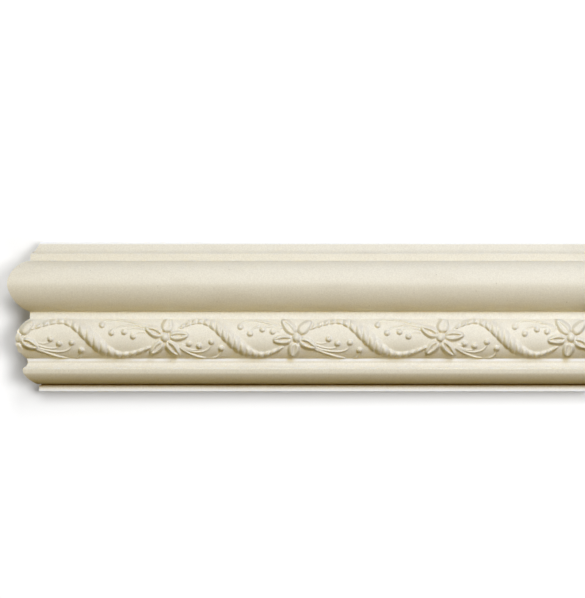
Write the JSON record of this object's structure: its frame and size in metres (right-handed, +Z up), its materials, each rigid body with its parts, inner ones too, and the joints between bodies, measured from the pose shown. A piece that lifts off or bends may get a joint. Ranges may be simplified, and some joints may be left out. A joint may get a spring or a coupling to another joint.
{
  "type": "decorative moulding",
  "caption": "Flat-backed decorative moulding with a half round over a band of flowers, berries and twisted rope, mitred at the left end and cut square at the right.",
  "frame": {"origin": "middle of the flat back face, half way up and half way along it", "axes": "+X along the moulding towards the square end, +Y out of the flat back, into the wall, +Z up, so the carved front faces -Y"},
  "size_m": [0.389, 0.0302, 0.1],
  "materials": {
    "casting": "matte cream, as cast, faintly speckled"
  },
  "bodies": {
    "root": {"moulding": "casting"}
  },
  "joints": []
}
